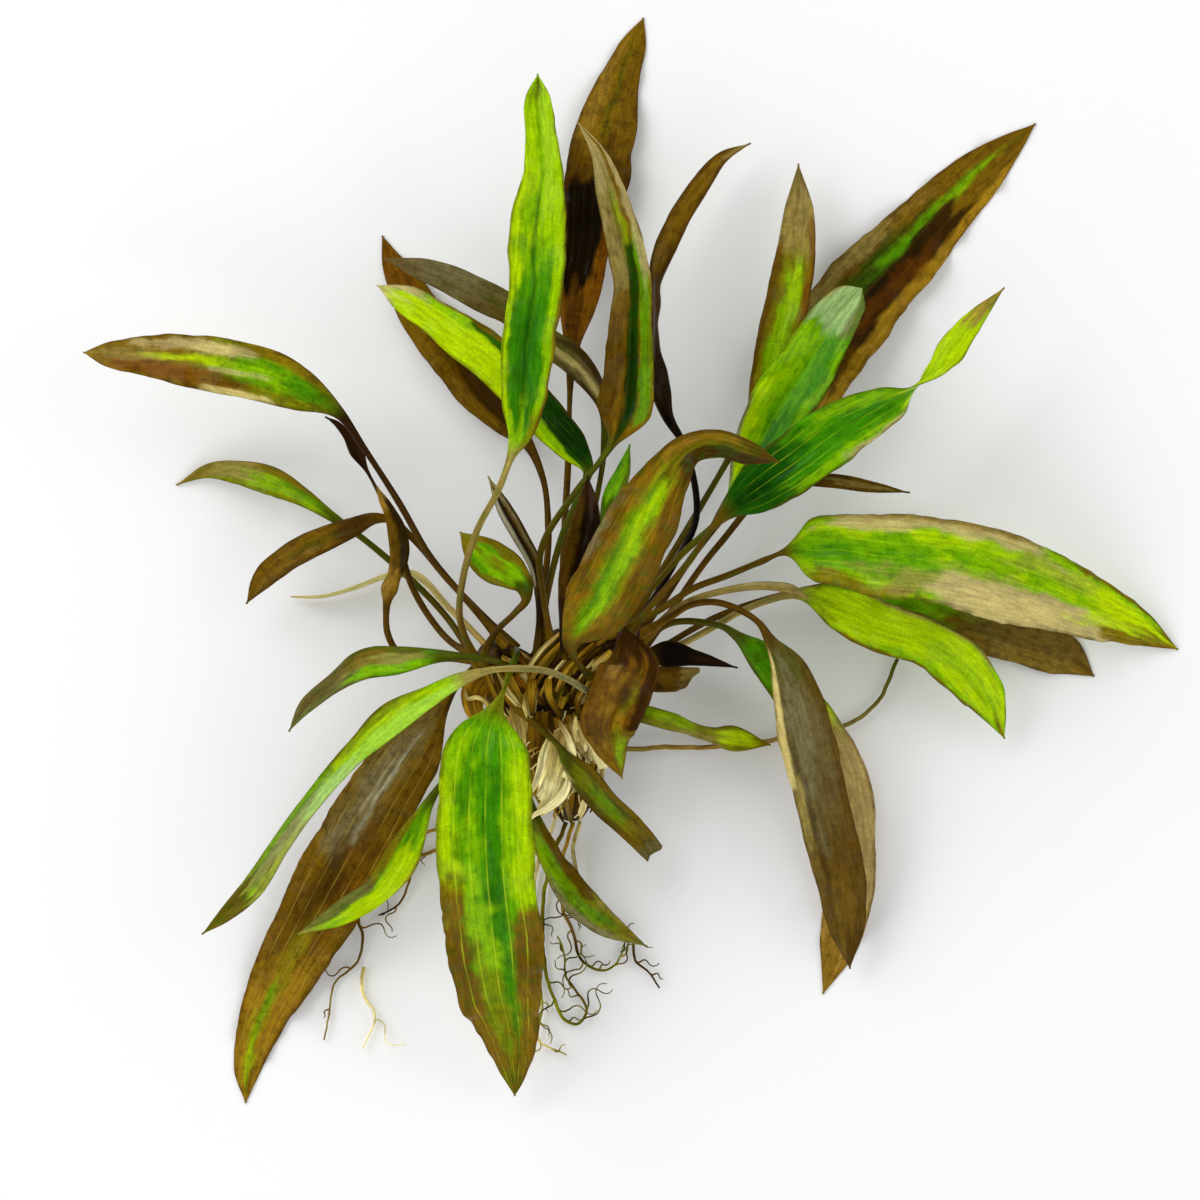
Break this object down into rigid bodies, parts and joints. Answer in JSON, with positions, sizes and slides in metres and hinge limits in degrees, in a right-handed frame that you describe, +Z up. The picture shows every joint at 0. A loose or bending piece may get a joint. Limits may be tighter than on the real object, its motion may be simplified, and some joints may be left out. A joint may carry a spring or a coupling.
{
  "type": "cryptocoryne plant",
  "caption": "Bare-root aquarium plant lying on its side: a short crown with long pointed green and brown leaves fanning out, a thin runner and fine roots.",
  "frame": {"origin": "on the surface that the plant lies on, under the middle of its spread", "axes": "+Z up from the surface; +Y from the roots towards the tallest leaves; +X to the right of that"},
  "size_m": [0.2759, 0.2741, 0.0768],
  "materials": {
    "leaf_green": "glossy wet leaf, bright green",
    "leaf_olive": "glossy wet leaf, olive and taupe",
    "leaf_brown": "glossy wet leaf, brown",
    "leaf_dark": "glossy wet leaf, very dark brown",
    "crown": "fibrous ochre sheaths, satin",
    "root": "cream roots, satin"
  },
  "bodies": {
    "root": {"leaf_tall_green": "leaf_green", "leaf_top_folded": "leaf_olive", "leaf_top_twisted": "leaf_brown", "leaf_top_back": "leaf_dark", "leaf_top_taupe": "leaf_olive", "leaf_top_bright": "leaf_green", "leaf_back_left": "leaf_brown", "leaf_inner_small": "leaf_green", "leaf_striped_folded": "leaf_olive", "leaf_centre": "leaf_green", "leaf_behind_centre": "leaf_dark", "leaf_inner_left": "leaf_green", "leaf_right_upright": "leaf_olive", "leaf_right_back": "leaf_brown", "leaf_right_round": "leaf_green", "leaf_right_front": "leaf_green", "leaf_right_sliver": "leaf_brown", "leaf_far_right": "leaf_green", "leaf_right_lower": "leaf_green", "leaf_right_low": "leaf_brown", "leaf_right_strip": "leaf_olive", "leaf_hanging_right": "leaf_olive", "leaf_hanging_back": "leaf_olive", "leaf_dark_spear": "leaf_dark", "leaf_torn": "leaf_olive", "leaf_short_hanging": "leaf_brown", "leaf_twisted_low": "leaf_olive", "leaf_lower_middle": "leaf_olive", "leaf_lower_twisted": "leaf_brown", "leaf_front_long": "leaf_green", "leaf_long_brown": "leaf_brown", "leaf_arching_pale": "leaf_green", "leaf_lower_bright": "leaf_green", "leaf_far_left": "leaf_brown", "leaf_small_dark": "leaf_dark", "leaf_hanging_left": "leaf_dark", "leaf_left_olive": "leaf_green", "leaf_left_brown": "leaf_brown", "leaf_left_thin": "leaf_green", "leaf_middle_left": "leaf_green", "crown": "crown", "stub_left": "crown", "stub_middle": "crown", "stub_right": "crown", "runner": "crown", "root_centre_long": "root", "root_centre_short": "root", "root_centre_far": "root", "root_cream": "root", "root_left_long": "root", "root_left_fork": "root", "root_left_curl": "root"}
  },
  "joints": []
}
